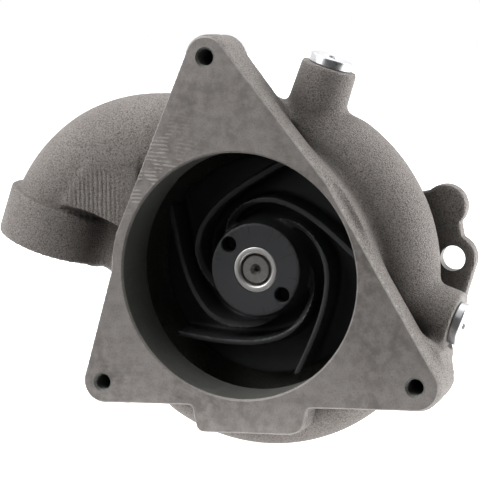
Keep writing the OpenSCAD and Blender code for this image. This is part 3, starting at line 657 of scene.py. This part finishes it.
def casing_field(grid):
    """Distance to the raw casting, with its passages open and before any machining."""
    gx, gy, gz = grid
    radius = np.sqrt(gx * gx + gz * gz)
    angle = np.degrees(np.arctan2(gz, gx)) % 360
    stations = [0, 55, 95, 185, 212, 238, 318, 345, 360]
    mid = np.interp(angle, stations, [58.2, 58.2, 56.5, 56.5, 57.8, 59, 59, 58.2, 58.2]).astype(np.float32)
    fat = np.interp(angle, stations, [19.3, 19.3, 15, 15, 17.5, 20, 20, 19.3, 19.3]).astype(np.float32)
    ring = np.sqrt((radius - mid) ** 2 + (gy - SCROLL_Y) ** 2)
    scroll = ring - fat
    # Flange with its deep corners, reaching a little past the face that is milled off later
    flange_flat = outline(gx, gz, flange_outline())
    broken_edge = np.clip(0.8 - gy, 0, 3)
    flange = slab(flange_flat + broken_edge, gy, -3, FLANGE_T, 0.8)
    tab = slab(outline(gx, gz, TAB) + broken_edge, gy, -3, FLANGE_T, 0.8)
    flange = blend(flange, tab, 2.0)
    for hole, r, half in ((TOP_HOLE, TOP_R, 8), (LEFT_HOLE, LEFT_R, 8), (RIGHT_HOLE, RIGHT_R, 9)):
        lug = slab(disc(gx, gz, hole, r + 0.2), gy, 2, LUG_DEPTH, 1.2)
        lug = np.minimum(lug, slab(outline(gx, gz, lug_web(hole, half)), gy, 8, LUG_DEPTH, 1.2))
        flange = blend(flange, lug, 1.6)
    flange = blend(flange, slab(outline(gx, gz, TOP_WALL), gy, 8, LUG_DEPTH, 1.2), 1.6)
    neck = slab(radius - NECK_R, gy, 6, SCROLL_Y)
    body = blend(scroll, neck, 4.0)
    # Discharge: straight run off the top of the scroll, bend, then the collar
    top_z = ELBOW_C[1] + ELBOW_BEND_R
    run_start, run_length = (ELBOW_C[0], SCROLL_Y, top_z), -ELBOW_C[0] + 4
    run = capped(grid, run_start, (1, 0, 0), ELBOW_R, ELBOW_R, run_length, 3.0)
    ex, ez = gx - ELBOW_C[0], gz - ELBOW_C[1]
    bend_a = np.clip(np.degrees(np.arctan2(ez, ex)), 90, ELBOW_END_A)
    turn = np.radians(np.where(ex > 0, 90, np.where(ez < 0, ELBOW_END_A, bend_a)))
    cx, cz = ELBOW_BEND_R * np.cos(turn), ELBOW_BEND_R * np.sin(turn)
    to_line = np.sqrt((ex - cx) ** 2 + (gy - SCROLL_Y) ** 2 + (ez - cz) ** 2)
    waist = 1.1 * np.clip((turn - math.radians(118)) / math.radians(34), 0, 1)
    bend_tube = to_line - ELBOW_R + waist
    out = polar(1, OUTLET_A)
    past = (gx - COLLAR_END[0]) * out[0] + (gz - COLLAR_END[1]) * out[1]
    bend_tube = np.maximum(bend_tube, past + 1.0)
    elbow = blend(run, bend_tube, 1.0)
    body = blend(body, elbow, 5.0)
    collar_start = (COLLAR_END[0] - COLLAR_LENGTH * out[0], SCROLL_Y,
                    COLLAR_END[1] - COLLAR_LENGTH * out[1])
    collar = capped(grid, collar_start, (out[0], 0, out[1]), COLLAR_R, COLLAR_R, COLLAR_LENGTH, 0.8)
    body = blend(body, collar, 0.9)
    body = blend(body, slab(outline(gx, gz, WEB), gy, SCROLL_Y - 9, SCROLL_Y + 9, 2.0), 5.0)
    body = blend(body, slab(outline(gx, gz, LEDGE), gy, 13.2, SCROLL_Y, 1.2), 2.2)
    body = blend(body, slab(outline(gx, gz, SIDE_WEB), gy, 12, 36, 2.0), 3.0)
    body = blend(body, flange, 4.5)
    for p, a, r in ((TOP_PORT, TOP_PORT_A, TOP_BOSS_R), (SIDE_PORT, SIDE_PORT_A, SIDE_BOSS_R)):
        d = polar(1, a)
        start = (p[0] - 30 * d[0], p[1], p[2] - 30 * d[1])
        boss = capped(grid, start, (d[0], 0, d[1]), r + 0.8, r, 30, 0.9)
        body = blend(body, boss, BOSS_FILLET)
    back = slab(radius - BACK_R, gy, 45, MOUNT_Y)
    body = blend(body, back, 4.0)
    body = blend(body, slab(plate_flat(gx, gz), gy, PLATE_FRONT_Y, MOUNT_Y + 1, 0.6), 2.2)
    # Bearing housing with its ribs, on the rough pilot
    rear = slab(radius - 56.5, gy, 60, 71)
    housing = slab(radius - HOUSING_R, gy, MOUNT_Y, HOUSING_END + 1.5)
    for k in range(RIBS):
        d = polar(1, -(30 + k * 360 / RIBS))
        along, across = gx * d[0] + gz * d[1], np.abs(gx * d[1] - gz * d[0])
        slope = (along - 32.5) * 29.4 / 33.4 + (gy - 99.4) * 16.5 / 33.4
        rib = np.maximum(np.maximum(across - 3.5, slope), np.maximum(20 - along, 60 - gy))
        rib = np.maximum(rib, np.maximum(along - 49, gy - 99.4))
        housing = blend(housing, rib, 4.0)
    rear = blend(rear, housing, 5.0)
    body = blend(body, rear, 1.5)
    # Passages
    body = carve(body, slab(radius - 51.2, gy, -20, 24), 0.5)
    inside = slab(radius - INLET_R, gy, 23, CHAMBER_END, 2.0)
    inside = blend(inside, ring - fat + SCROLL_WALL, 2.0)
    bore_run = capped(grid, run_start, (1, 0, 0), ELBOW_BORE_R, 13, run_length)
    inside = blend(inside, blend(bore_run, to_line - ELBOW_BORE_R, 1.0), 3.0)
    return carve(body, inside, 1.5)


def milled_profile():
    """What turning takes off the rear: mounting face, pilot with its groove, and the face inside it."""
    return [(170, MOUNT_Y), (55, MOUNT_Y), (55, 64.3), (52.6, 64.3), (52.6, 67.7), (55, 67.7), (55, 69.2),
            (54.2, 70), (49.6, 70), (49.6, 80), (170, 80)]


def bearing_bore_profile():
    """What boring takes out from the impeller's chamber to the open end of the bearing housing."""
    return [(0, CHAMBER_END - 3), (18.8, CHAMBER_END - 3), (18.8, 47.9), (18, 48.6), (18, 57.5), (14, 57.5),
            (14, 61), (18, 61), (18, 68), (15, 68), (15, 70), (23.5, 70), (23.5, 102.2), (24.9, 102.2),
            (24.9, 104), (23.5, 104), (23.5, 105.0), (23.9, HOUSING_END), (23.9, 112), (0, 112)]


# The casing's materials in the order of their indices
CASING_MATERIALS = (skin, milled, shaded_bore_iron, rear_milled, inside_shading_skin, worn_edge)
SKIN, MILLED, SHADED_BORE, REAR_MILLED, INSIDE_SHADING_SKIN, WORN_EDGE = range(6)


def build_casing():
    """The casting from its distance field, then every machining cut in turn."""
    step = 1.15
    lo, hi = (-133.3, -4.6, -84.3), (95.4, 110.1, 104.5)
    field = casing_field(make_grid(lo, hi, step))
    verts, quads = surface(field, lo, step)
    casing = add_mesh("casing", verts, quads)
    for m in CASING_MATERIALS:
        casing.data.materials.append(m)
    # Cast faces inside the inlet get their own copy of the cast iron, with tones of its own: painted light for the
    # inside of the casing
    centre = np.zeros(len(casing.data.polygons) * 3, np.float32)
    normal = centre.copy()
    casing.data.polygons.foreach_get("center", centre)
    casing.data.polygons.foreach_get("normal", normal)
    centre, normal = centre.reshape(-1, 3) / MM, normal.reshape(-1, 3)
    r = np.hypot(centre[:, 0], centre[:, 2])
    outward = (normal[:, 0] * centre[:, 0] + normal[:, 2] * centre[:, 2]) / np.maximum(r, 1)
    facing_in = outward * (r - 58.5) + normal[:, 1] * (centre[:, 1] - SCROLL_Y) < 0
    near = np.hypot(r - 58.5, centre[:, 1] - SCROLL_Y) < 18
    deep = (r < 54) & (centre[:, 1] > 22) & (centre[:, 1] < 50)
    kind = np.where((near & facing_in) | deep, INSIDE_SHADING_SKIN, SKIN)
    kind = np.where((centre[:, 1] < 1.2) & (normal[:, 1] < -0.25), WORN_EDGE, kind)
    casing.data.polygons.foreach_set("material_index", kind.astype(np.int32))
    # Milled flange face
    face = prism("face_mill", [(-160, -120), (160, -120), (160, 140), (-160, 140)], -30, 0)
    cut(casing, [face], MILLED)
    # Inlet bore with a broken edge
    broken = turned("chamfer_tool", [(0, -3), (55.8, -3), (INLET_R - 0.3, 1.1), (0, 1.1)], 256, closed=False)
    cut(casing, [broken], WORN_EDGE)
    bore = turned("bore_tool", [(0, -5), (INLET_R, -5), (INLET_R, 22.4), (52.6, 23), (52.6, 30), (0, 30)],
                  256, closed=False)
    cut(casing, [bore], SHADED_BORE)
    # Tapped holes with a countersink; the thread is cut as close grooves
    tapped = [(0, -1), (5.3, -1), (4.3, 0), (3.4, 0.9)]
    tapped += thread(1.2, 17, 1.25, ((3.4, 0), (3.95, 0.5), (3.95, 0.6), (3.4, 1.1)))
    tapped += [(3.4, 19.1), (0, 21)]
    for hole in (TOP_HOLE, LEFT_HOLE, RIGHT_HOLE):
        tool = turned("tap_tool", tapped, 40, closed=False)
        shift(tool, hole)
        cut(casing, [tool], SHADED_BORE)
    # Outlet bore, groove and chamfer
    out = polar(1, OUTLET_A)
    outlet = turned("outlet_tool", [(0, 6), (24, 6), (24, 1), (23, 0), (21, -1.6), (21, -8.4), (23.4, -8.4),
                                    (23.4, -11.6), (21, -11.6), (21, -17), (16.5, -18), (0, -18)],
                    96, closed=False)
    place(outlet, (COLLAR_END[0], SCROLL_Y, COLLAR_END[1]), (out[0], 0, out[1]))
    cut(casing, [outlet], REAR_MILLED)
    # Threaded ports, spot-faced at their ends
    for p, a in ((TOP_PORT, TOP_PORT_A), (SIDE_PORT, SIDE_PORT_A)):
        d = polar(1, a)
        tool = turned("port_tool", [(0, 3), (11.3, 3), (11.3, -0.02), (8.6, -0.02), (8.6, -1.7), (7, -1.7),
                                    (7, -34), (0, -34)], 64, closed=False)
        place(tool, p, (d[0], 0, d[1]))
        cut(casing, [tool], REAR_MILLED)
    # Rear machining
    rear = turned("rear_tool", milled_profile(), 192)
    end = turned("end_tool", [(0, HOUSING_END), (60, HOUSING_END), (60, 130), (0, 130)], 96, closed=False)
    bearing = turned("bearing_tool", bearing_bore_profile(), 96, closed=False)
    cut(casing, [rear, end, bearing], REAR_MILLED)
    for a in MOUNT_ANGLES:
        tool = turned("hole_tool", [(0, 50.5), (5.5, 50.5), (5.5, 61.5), (6.3, 62.3), (6.3, 66), (0, 66)],
                      48, closed=False)
        shift(tool, polar(MOUNT_HOLE_R, a))
        cut(casing, [tool], REAR_MILLED)
    weep = cylinder("weep_tool", (0, 59.25, -100), (0, 0, 1), 1.6, 90, 24)
    cut(casing, [weep], REAR_MILLED)
    sharpen(casing, 38)
    return casing


casing = build_casing()
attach(casing, "casing")
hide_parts("pump_casing")

# ---------- Plugs ----------


def hexagon(across, turn=0):
    """Outline of a hexagon by its width across flats."""
    return [tuple(polar(across / math.sqrt(3), turn + 60 * k)) for k in range(6)]


def build_plug(name, p, a):
    """Screw plug with a hex socket: turned head with a rounded rim, grooved thread below."""
    profile = [(0, 4), (7.2, 4.0)] + [(8.4 + 0.8 * math.sin(t), 3.2 + 0.8 * math.cos(t))
                                      for t in np.linspace(0.15, math.pi / 2, 6)]
    profile += [(9.2, 0.5), (9.0, 0.25), (8.8, 0.05), (6.4, 0.05)]
    profile += thread(-1.0, -12.4, -1.5, ((6.95, 0), (6.95, -0.2), (6.2, -0.8), (6.2, -0.9)))
    profile += [(6.2, -13), (0, -13)]
    plug = turned(name, profile, 96, closed=False)
    socket = prism("socket_tool", hexagon(6.0, 10), -1.0, 6)
    dish = turned("dish_tool", [(0, 3.2), (3.1, 3.2), (3.9, 4.3), (3.9, 6), (0, 6)], 48, closed=False)
    plug.data.materials.append(zinc)
    cut(plug, [socket, dish], 0)
    d = polar(1, a)
    place(plug, p, (d[0], 0, d[1]))
    sharpen(plug, 30)
    return plug


for name, p, a in (("top_port_plug", TOP_PORT, TOP_PORT_A), ("side_port_plug", SIDE_PORT, SIDE_PORT_A)):
    plug = build_plug("detailed_" + name, p, a)
    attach(plug, "casing")
    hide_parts(name)

# ---------- Impeller ----------

IMPELLER_R, HUB_Y, BLADE_Y, DISC_Y, DISC_BACK_Y = 48.5, 22.9, 26.0, 41.0, 44.5
BLADES = 5
PULLER_R, PULLER_ANGLES = 16, (139.5, 319.5)


def blade_r(a):
    """Radius of a blade's middle line at an angle: steep at the tip, then close round the hub."""
    return 30 + 17.9 * np.exp((76 - a) / 24) - 0.025 * np.maximum(0, a - 148) ** 1.4


def impeller_field(grid):
    """Distance to the moulded wheel: disc, flared hub and swept blades."""
    gx, gy, gz = grid
    radius = np.sqrt(gx * gx + gz * gz)
    plate = slab(radius - IMPELLER_R, gy, DISC_Y, DISC_BACK_Y, 0.5)
    flare = 20.2 + 4.8 * np.clip((gy - 24.5) / 16.0, 0, 1) ** 2
    hub = np.maximum(slab(radius - 60, gy, HUB_Y, 44, 0.0), (radius - flare) * 0.97)
    hub = blend(hub, slab(radius - 17, gy, 40, 45, 0.3), 1.0)
    body = blend(hub, plate, 5.0)
    flat = np.full(np.broadcast(gx, gz).shape, 1e9, np.float32)
    a = np.linspace(76, 214, 70)
    line = np.stack([blade_r(a) * np.cos(np.radians(a)), blade_r(a) * np.sin(np.radians(a))], 1)
    for k in range(BLADES):
        c, s = polar(1, 360 // BLADES * k)
        turned_line = line @ np.array([[c, s], [-s, c]])
        for p, q in zip(turned_line, turned_line[1:]):
            d = q - p
            t = np.clip(((gx - p[0]) * d[0] + (gz - p[1]) * d[1]) / (d @ d), 0, 1)
            flat = np.minimum(flat, (gx - p[0] - t * d[0]) ** 2 + (gz - p[1] - t * d[1]) ** 2)
    flat = np.sqrt(flat)
    # Blades thicken a little towards the disc, and their leading ends slope back to the hub
    half = 1.15 + 0.55 * np.clip((gy - BLADE_Y) / 15, 0, 1)
    slope = ((29.6 - radius) * 11 - (gy - BLADE_Y) * 10.5) / 15.2
    blades = slab(np.maximum(flat - half, slope), gy, BLADE_Y, 43, 0.35)
    blades = np.maximum(blades, radius - IMPELLER_R + 0.1)
    return blend(body, blades, 2.2)


def build_impeller():
    """Wheel with its machined face, insert bore, rim and puller holes."""
    step = 0.72
    lo, hi = (-50.7, 21.4, -50.7), (50.7, 46.9, 50.7)
    verts, quads = surface(impeller_field(make_grid(lo, hi, step)), lo, step)
    wheel = add_mesh("detailed_impeller", verts, quads)
    wheel.data.materials.append(impeller_skin)
    face = turned("face_tool", [(0, 10), (40, 10), (40, HUB_Y), (0, HUB_Y)], 96, closed=False)
    bore = turned("bore_tool", [(0, 10), (9.9, 10), (9.9, 60), (0, 60)], 96, closed=False)
    rim = turned("rim_tool", [(60, 40), (IMPELLER_R, 40), (IMPELLER_R, 46.8), (60, 46.8)], 192)
    cut(wheel, [face, bore, rim], 0)
    for a in PULLER_ANGLES:
        tool = turned("puller_tool", [(0, 20), (3.7, 20), (3.7, 22.9), (3.3, 23.3), (3.3, 31.2), (0, 32.5)],
                      40, closed=False)
        shift(tool, polar(PULLER_R, a))
        cut(wheel, [tool], 0)
    sharpen(wheel, 40)
    return wheel


wheel = build_impeller()
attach(wheel, "rotor")
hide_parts("impeller")


def add_turned(name, profile, material, body, ease=0.25, sides=128, closed=True):
    """Turned piece with broken edges that stands for the CAD node of that name."""
    obj = turned("detailed_" + name, eased(profile, ease, 3), sides, closed)
    obj.data.materials.append(material)
    sharpen(obj, 50)
    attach(obj, body)
    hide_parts(name)
    return obj


add_turned("impeller_insert", [(7.7, 22.9), (9.5, 22.9), (9.9, 23.3), (9.9, 45), (7, 45), (7, 23.6)], steel,
           "rotor", 0.2)


def build_shaft():
    """Stepped shaft with its centre hole, key seat and threaded rear end."""
    profile = [(0, 23.3), (5.7, 23.3), (6.0, 23.7), (6.0, 25.4), (7, 26.4), (7, 45), (8, 45), (8, 68.4),
               (10.6, 68.4), (10.6, 70), (8.5, 70), (8.5, 102), (8, 102), (8, 127.2)]
    profile += thread(127.6, 136, 1.25, ((6.98, 0), (6.98, 0.15), (6.3, 0.7), (6.3, 0.8)))
    profile += [(6.3, 137.0), (5.9, 137.5), (0, 137.5)]
    piece = turned("detailed_shaft", profile, 96, closed=False)
    piece.data.materials.append(shaft_steel)
    centre = turned("centre_tool", [(0, 20), (3.4, 20), (3.4, 22.2), (1.1, 25.0), (1.1, 28), (0, 28.6)],
                    48, closed=False)
    key_seat = add_box("key_seat_tool", (-2.5, 110, 5), (2.5, 122, 11))
    cut(piece, [centre, key_seat], 0)
    sharpen(piece, 35)
    return piece


def add_box(name, lo, hi):
    """Box between two [x, y, z] corners."""
    return prism(name, [(lo[0], lo[2]), (hi[0], lo[2]), (hi[0], hi[2]), (lo[0], hi[2])], lo[1], hi[1])


shaft = build_shaft()
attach(shaft, "rotor")
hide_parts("shaft")

# ---------- Drive gear, washer and nut ----------


def gear_outline():
    """Involute teeth with rounded roots."""
    module, teeth = 2.5, 34
    pitch = module * teeth / 2
    tip, root, base = pitch + module, pitch - 1.25 * module, pitch * math.cos(math.radians(20))

    def roll(r):
        u = math.acos(min(1.0, base / max(r, base)))
        return math.degrees(math.tan(u) - u)

    half = 90 / teeth + roll(pitch)
    points = []
    for i in range(teeth):
        a = i * 360 / teeth
        side = [(root, half + 0.75), (root + 0.25, half + 0.35)]
        flank = [base + (tip - 0.25 - base) * k / 7 for k in range(8)]
        side += [(r, half - roll(r)) for r in flank]
        side += [(tip, half - roll(tip) - 0.35)]
        points += [polar(r, a - w) for r, w in side] + [polar(r, a + w) for r, w in side[::-1]]
    return [tuple(p) for p in points]


def build_gear():
    """Toothed rim with a thin web, lightening holes, a hub and a keyed bore."""
    gear = prism("detailed_drive_gear", gear_outline(), 107, 125, bevel=0.45)
    gear.data.materials.append(steel)
    hub = turned("hub_add", eased([(0, 102.2), (12, 102.2), (12, 108), (0, 108)], 0.5, 3), 96, closed=False)
    cut(gear, [hub], 0, "UNION")
    web = eased([(17.6, 103), (34, 103), (33.3, 111), (18.0, 111)], 1.4, 4)
    back = eased([(18.0, 121), (33.3, 121), (34, 129), (17.6, 129)], 1.4, 4)
    cut(gear, [turned("web_tool", web, 128), turned("back_tool", back, 128)], 0)
    for k in range(6):
        tool = turned("lightening_tool", [(0, 108), (5.1, 108), (5.1, 111), (4.5, 111.6), (4.5, 120.4),
                                          (5.1, 121), (5.1, 124), (0, 124)], 40, closed=False)
        shift(tool, polar(25, -60 * k))
        cut(gear, [tool], 0)
    bore = turned("gear_bore_tool", [(0, 100), (8.6, 100), (8.6, 102.2), (8, 102.8), (8, 124.4), (8.6, 125),
                                     (8.6, 130), (0, 130)], 96, closed=False)
    cut(gear, [bore, add_box("key_way_tool", (-2.5, 100, 5), (2.5, 130, 10.3))], 0)
    sharpen(gear, 30)
    return gear


gear = build_gear()
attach(gear, "rotor")
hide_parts("drive_gear")

add_turned("gear_washer", [(7, 125), (14, 125), (14, 127.5), (7, 127.5)], zinc, "rotor", 0.35)


def build_nut():
    """Hexagon nut with turned corners and a thread of close grooves."""
    nut = prism("detailed_gear_nut", hexagon(22, 0), 127.5, 135.5)
    nut.data.materials.append(zinc)
    rounded = turned("nut_tool", [(0, 127.5), (10.8, 127.5), (13.3, 128.9), (13.3, 134.1), (10.8, 135.5),
                                  (0, 135.5)], 96, closed=False)
    cut(nut, [rounded], 0, "INTERSECT")
    profile = [(0, 127), (8, 127), (7.5, 127.6), (7.0, 128.2)]
    profile += thread(128.3, 134, 1.25, ((7.02, 0), (7.45, 0.5), (7.45, 0.6), (7.02, 1.1)))
    profile += [(7.02, 134.7), (7.8, 135.6), (7.8, 137), (0, 137)]
    cut(nut, [turned("nut_thread_tool", profile, 64, closed=False)], 0)
    sharpen(nut, 30)
    return nut


nut = build_nut()
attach(nut, "rotor")
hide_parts("gear_nut")

# ---------- Pieces carried over from the CAD ----------

CARRIED = {
    "plated_steel": (zinc, ()),
    "seal_rubber": (rubber, ("top_plug_seal_ring", "side_plug_seal_ring", "outlet_seal_ring", "pilot_seal_ring",
                             "seal_bellows", "mating_ring_rubber", "slinger", "oil_seal")),
    "seal_brass": (brass, ("seal_cup", "front_cage", "rear_cage")),
    "seal_face": (carbon, ("seal_carbon_ring", "seal_mating_ring")),
    "steel": (ground, ("seal_spring", "oil_seal_spring", "front_outer_race", "front_inner_race", "front_balls",
                       "rear_outer_race", "rear_inner_race", "rear_balls", "bearing_spacer",
                       "bearing_retaining_ring", "gear_key")),
}
for slot, (material, names) in CARRIED.items():
    for name in names:
        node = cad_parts[name]
        node.data.materials.clear()
        node.data.materials.append(material)
        node.data.polygons.foreach_set("use_smooth", [True] * len(node.data.polygons))

# ---------- Floor, light and camera ----------

floor_material = Nodes("floor")
floor_tone = floor_material.mix(floor_material.remap(floor_material.noise(3, 2, 0.5), 0.3, 0.7),
                                (0.95, 0.95, 0.95), (0.97, 0.97, 0.97))
floor_material.finish(floor_tone, 0.9, 0.0, None, 0.1)
floor_material.shader.inputs["Emission Color"].default_value = (1, 1, 1, 1)
floor_material.shader.inputs["Emission Strength"].default_value = 0.97
# A little under the casting's lowest point, in metres
FLOOR_Z = -0.0808
floor = add_mesh("floor", [(-9000, -4000, 0), (9000, -4000, 0), (9000, 9000, 0), (-9000, 9000, 0)],
                 [(0, 1, 2, 3)], False)
floor.location = (0, 0, FLOOR_Z)
floor.data.materials.append(floor_material.material)

world = bpy.data.worlds.new("studio")
bpy.context.scene.world = world
world.use_nodes = True
world.node_tree.nodes["Background"].inputs["Color"].default_value = (1, 1, 1, 1)
world.node_tree.nodes["Background"].inputs["Strength"].default_value = 1.0


def area_light(name, place_at, target, size, power):
    """Soft rectangular lamp aimed at a target; metres and watts."""
    data = bpy.data.lights.new(name, "AREA")
    data.shape = "RECTANGLE"
    data.size, data.size_y = size
    data.energy = power
    lamp = bpy.data.objects.new(name, data)
    lamp.location = place_at
    lamp.rotation_mode = "QUATERNION"
    lamp.rotation_quaternion = (Vector(target) - Vector(place_at)).to_track_quat("-Z", "Y")
    bpy.context.scene.collection.objects.link(lamp)
    return lamp


def add_flag(name, corners, tone):
    """Dark studio flag: it takes light away, as the dark side of a studio does, and stays out of the picture."""
    flag = add_mesh(name, corners, [(0, 1, 2, 3)], False)
    m = Nodes(name)
    m.finish(m.mix(m.noise(2, 2, 0.5), (tone,) * 3, (1.1 * tone,) * 3), 0.9, 0.0, None, 0.1)
    flag.data.materials.append(m.material)
    flag.visible_camera = False
    return flag


# The studio's dark side: cards behind the camera, on the floor in front, above and to the right
add_flag("dark_card", [(-420, -900, -78), (1150, -760, -78), (1150, -760, 900), (-420, -900, 900)], 0.05)
add_flag("front_floor_card", [(-900, -1000, -79.8), (1300, -1000, -79.8), (1300, -35, -79.8),
                              (-900, -35, -79.8)], 0.04)
add_flag("dark_corner", [(300, -760, 900), (1150, -760, 900), (1000, 60, 800), (300, 60, 800)], 0.05)
add_flag("dark_side", [(1150, -760, -78), (1000, 60, -78), (1000, 60, 800), (1150, -760, 800)], 0.05)
area_light("overhead", (-0.10, 0.22, 0.80), (0, 0.05, 0), (1.0, 0.8), 3.0)
area_light("left_bank", (-0.55, -0.50, 0.62), (-0.04, 0.0, 0.09), (0.5, 0.8), 7.0)
area_light("right_bank", (0.75, 0.55, 0.25), (0, 0.03, 0), (0.5, 0.8), 7.5)

camera_data = bpy.data.cameras.new("camera")
camera_data.sensor_width = 36.0
camera_data.lens = 126.0
camera_data.clip_start, camera_data.clip_end = 0.05, 40.0
camera = bpy.data.objects.new("camera", camera_data)
bpy.context.scene.collection.objects.link(camera)
# The camera's own axes, and its place along them in metres
right, up, back = Vector((0.9372, 0.3487, 0)), Vector((-0.0449, 0.1206, 0.9916)), Vector((0.3458, -0.9294, 0.1287))
turn = Matrix((right, up, back)).transposed().to_4x4()
camera.matrix_world = Matrix.Translation(right * 0.001467 + up * 0.015543 + back * 0.70107) @ turn
bpy.context.scene.camera = camera
bpy.context.scene.view_settings.view_transform = "Standard"
